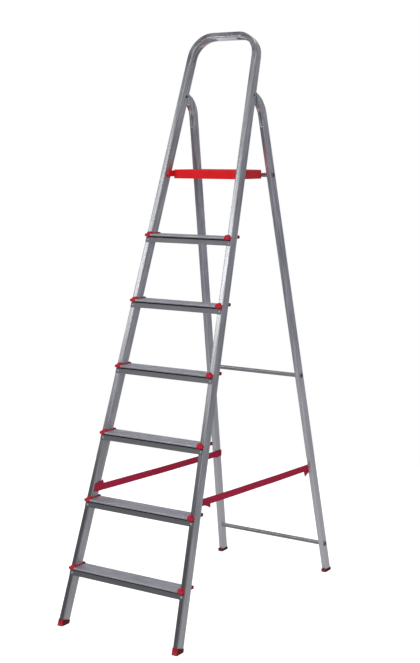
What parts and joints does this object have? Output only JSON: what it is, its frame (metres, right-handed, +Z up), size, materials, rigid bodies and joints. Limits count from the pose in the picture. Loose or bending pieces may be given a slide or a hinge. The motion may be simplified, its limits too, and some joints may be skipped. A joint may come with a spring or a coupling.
{
  "type": "step ladder",
  "caption": "Folding aluminium step ladder with ribbed treads, a red moulded platform, a bent hand hoop, splayed rear legs and webbing stays.",
  "frame": {"origin": "middle of the footprint on the floor, ladder standing open", "axes": "+Z up, -Y the climbing side, +X across to the right of a person climbing"},
  "size_m": [0.5112, 1.0804, 2.0721],
  "materials": {
    "rail_aluminium": "mill extruded, satin",
    "tread_aluminium": "mill extruded, ribbed",
    "leg_aluminium": "mill extruded, satin",
    "rivet_metal": "bright",
    "painted_rivet": "painted red",
    "washer_plastic": "plain nylon",
    "red_platform_plastic": "moulded, fine texture",
    "red_cap_plastic": "moulded",
    "dark_red_foot": "moulded, matte",
    "crimson_webbing": "woven webbing"
  },
  "bodies": {
    "front_frame": {"front_rail_hoop": "rail_aluminium", "step_1": "tread_aluminium", "step_2": "tread_aluminium", "step_3": "tread_aluminium", "step_4": "tread_aluminium", "step_5": "tread_aluminium", "step_6": "tread_aluminium", "step_caps_1": "red_cap_plastic", "step_caps_2": "red_cap_plastic", "step_caps_3": "red_cap_plastic", "step_caps_4": "red_cap_plastic", "step_caps_5": "red_cap_plastic", "step_caps_6": "red_cap_plastic", "step_rivets": "rivet_metal", "front_foot_left": "dark_red_foot", "front_foot_right": "dark_red_foot", "fold_pivot_rivets": "rivet_metal", "fold_pivot_washers": "washer_plastic", "platform_pivot_pins": "rivet_metal", "platform_pivot_washers": "washer_plastic", "strap_left": "crimson_webbing", "strap_right": "crimson_webbing", "strap_front_rivets": "painted_rivet", "strap_front_washers": "red_cap_plastic"},
    "rear_frame": {"rear_leg_left": "leg_aluminium", "rear_leg_right": "leg_aluminium", "crossbar_top": "leg_aluminium", "crossbar_middle": "leg_aluminium", "crossbar_bottom": "leg_aluminium", "rear_foot_left": "dark_red_foot", "rear_foot_right": "dark_red_foot", "strap_rear_rivets": "painted_rivet", "strap_rear_washers": "red_cap_plastic"},
    "platform": {"platform": "red_platform_plastic"}
  },
  "joints": [
    {"name": "rear_fold", "type": "hinge", "parent": "front_frame", "child": "rear_frame", "pos_m": [0, 0.08875, 1.843], "axis": [-1, 0, 0], "range_deg": [0, 29.7], "deforming": ["strap_left", "strap_right"]},
    {"name": "platform_fold", "type": "hinge", "parent": "front_frame", "child": "platform", "pos_m": [0, -0.00736, 1.566], "axis": [1, 0, 0], "range_deg": [0, 72]}
  ],
  "couplings": [
    {"joint": "platform_fold", "follows": "rear_fold", "ratio": 2.42}
  ]
}
